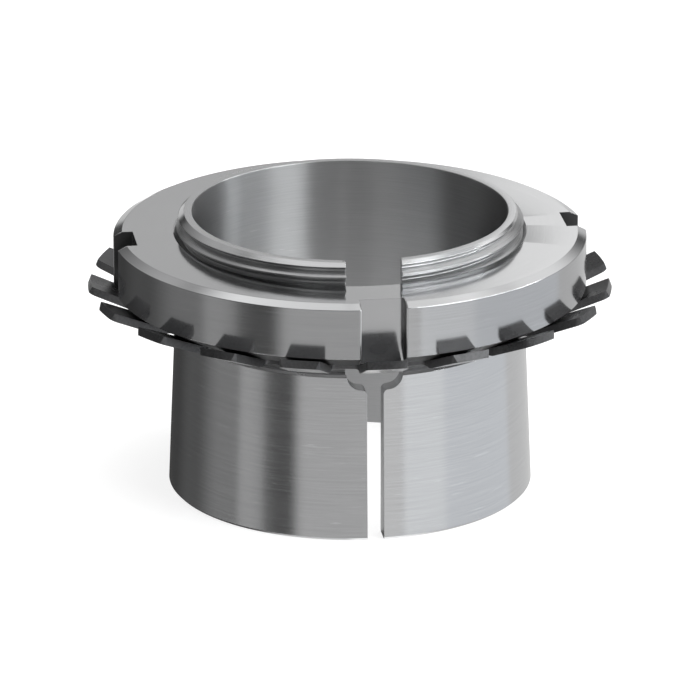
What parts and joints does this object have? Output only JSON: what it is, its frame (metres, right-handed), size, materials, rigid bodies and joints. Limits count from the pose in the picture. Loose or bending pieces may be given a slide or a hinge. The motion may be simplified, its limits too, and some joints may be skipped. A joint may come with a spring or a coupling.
{
  "type": "bearing adapter sleeve",
  "caption": "Slit taper sleeve that clamps a tapered-bore bearing on a plain shaft, with its threaded end, slotted lock nut and tanged lock washer.",
  "frame": {"origin": "centre of the large end face of the sleeve, on the shaft axis", "axes": "+Z along the shaft axis towards the threaded end, and the slit with the key slot points to -Y"},
  "size_m": [0.0832, 0.083, 0.045],
  "materials": {
    "sleeve_steel": "fine turned steel",
    "nut_steel": "polished turned faces",
    "washer_steel": "dark phosphated sheet"
  },
  "bodies": {
    "sleeve": {"adapter_sleeve": "sleeve_steel"},
    "washer": {"lock_washer": "washer_steel"},
    "nut": {"lock_nut": "nut_steel"}
  },
  "joints": [
    {"name": "washer_slide", "type": "slide", "parent": "sleeve", "child": "washer", "axis": [0, 0, 1], "range_m": [-0.002, 0.011]},
    {"name": "nut_turn", "type": "hinge", "parent": "washer", "child": "nut", "pos_m": [0, 0, 0.03625], "axis": [0, 0, 1], "range_deg": [-360, 1980]}
  ],
  "couplings": [
    {"joint": "washer_slide", "follows": "nut_turn", "m_per_rad": 0.00031831}
  ]
}
